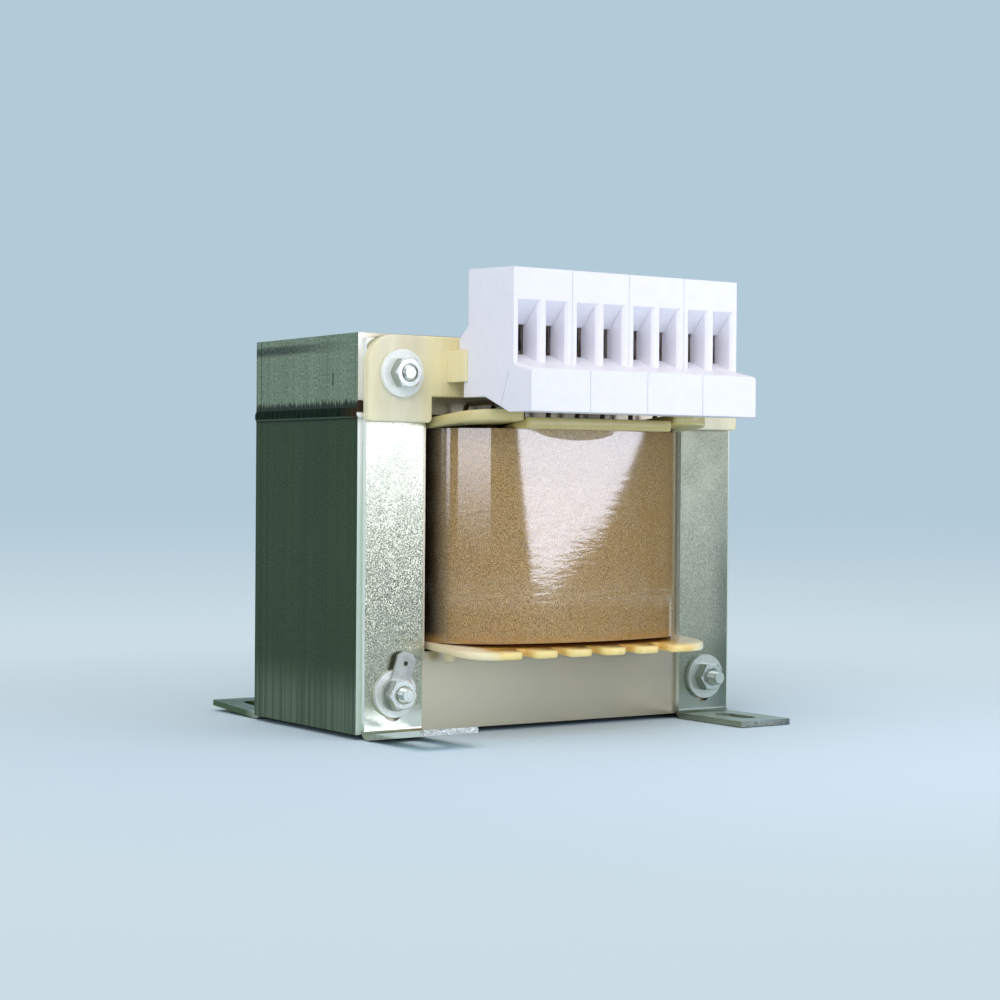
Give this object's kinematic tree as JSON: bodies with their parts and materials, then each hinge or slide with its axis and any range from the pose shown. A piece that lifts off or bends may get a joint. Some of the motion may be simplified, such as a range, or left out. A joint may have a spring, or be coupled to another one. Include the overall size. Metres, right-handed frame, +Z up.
{
  "type": "autotransformer",
  "caption": "Single-phase autotransformer: welded sheet core with a wrapped coil, strap feet with slots and a row of screw terminals along the top front edge.",
  "frame": {"origin": "centre of the four foot slots, on the plane the feet stand on", "axes": "+X to the right seen from the terminals, -Y towards the front where the terminals face, +Z up from the mounting plane"},
  "size_m": [0.1208, 0.1213, 0.1174],
  "materials": {
    "core_steel": "cut edges of oiled sheets",
    "weld_metal": "dark weld",
    "strap_steel": "zinc plated, speckled",
    "fastener_steel": "bright zinc",
    "tab_steel": "tinned",
    "former_nylon": "amber, slightly clear",
    "copper": "enamelled",
    "kraft_paper": "matte brown paper",
    "clear_film": "clear film",
    "carrier_nylon": "pale yellow",
    "terminal_plastic": "white",
    "clamp_steel": "plain steel",
    "lug_metal": "tinned"
  },
  "bodies": {
    "root": {"e_core": "core_steel", "i_core": "core_steel", "weld_left": "weld_metal", "weld_right": "weld_metal", "strap_front_left": "strap_steel", "strap_front_right": "strap_steel", "strap_rear_left": "strap_steel", "strap_rear_right": "strap_steel", "clamp_bolts": "fastener_steel", "rear_washers": "fastener_steel", "front_washers": "fastener_steel", "front_nuts": "fastener_steel", "earth_tab": "tab_steel", "coil_former": "former_nylon", "winding": "copper", "paper_wrap": "kraft_paper", "film_wrap": "clear_film", "terminal_carrier": "carrier_nylon", "terminal_housing_1": "terminal_plastic", "terminal_housing_2": "terminal_plastic", "terminal_housing_3": "terminal_plastic", "terminal_housing_4": "terminal_plastic", "clamp_cages": "clamp_steel", "clamp_screws": "clamp_steel", "solder_lugs": "lug_metal", "winding_leads": "copper"}
  },
  "joints": []
}
